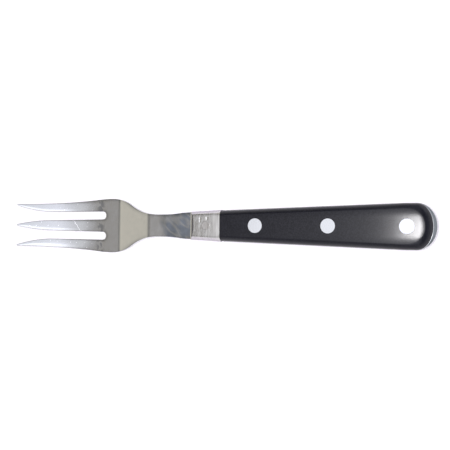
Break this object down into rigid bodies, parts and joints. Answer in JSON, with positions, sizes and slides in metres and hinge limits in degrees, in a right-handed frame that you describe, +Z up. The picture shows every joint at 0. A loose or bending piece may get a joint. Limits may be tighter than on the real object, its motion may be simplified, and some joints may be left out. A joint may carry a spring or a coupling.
{
  "type": "table fork",
  "caption": "Table fork with a cranked, slotted steel head, a full tang between black riveted handle scales, and a pinned steel bolster.",
  "frame": {"origin": "bottom centre of the whole fork, on the table that its handle back and bowl lie on", "axes": "+X from the tine tips to the butt, +Y across the fork, +Z up out of the bowl, fork lying with its tines curved upwards"},
  "size_m": [0.2056, 0.0264, 0.0111],
  "materials": {
    "polished_steel": "polished stainless steel with fine wear scratches",
    "bolster_steel": "satin stainless steel, ground across",
    "pin_steel": "satin steel, ground flush with the bolster",
    "black_scale": "black moulded plastic with a satin sheen",
    "rivet_aluminium": "bright aluminium, ground flush across"
  },
  "bodies": {
    "root": {"fork_blank": "polished_steel", "front_bolster": "bolster_steel", "back_bolster": "bolster_steel", "bolster_pin": "pin_steel", "front_scale": "black_scale", "back_scale": "black_scale", "front_rivet_solid": "rivet_aluminium", "front_rivet_tubular": "rivet_aluminium", "middle_rivet_solid": "rivet_aluminium", "middle_rivet_tubular": "rivet_aluminium", "rear_rivet_solid": "rivet_aluminium", "rear_rivet_tubular": "rivet_aluminium"}
  },
  "joints": []
}
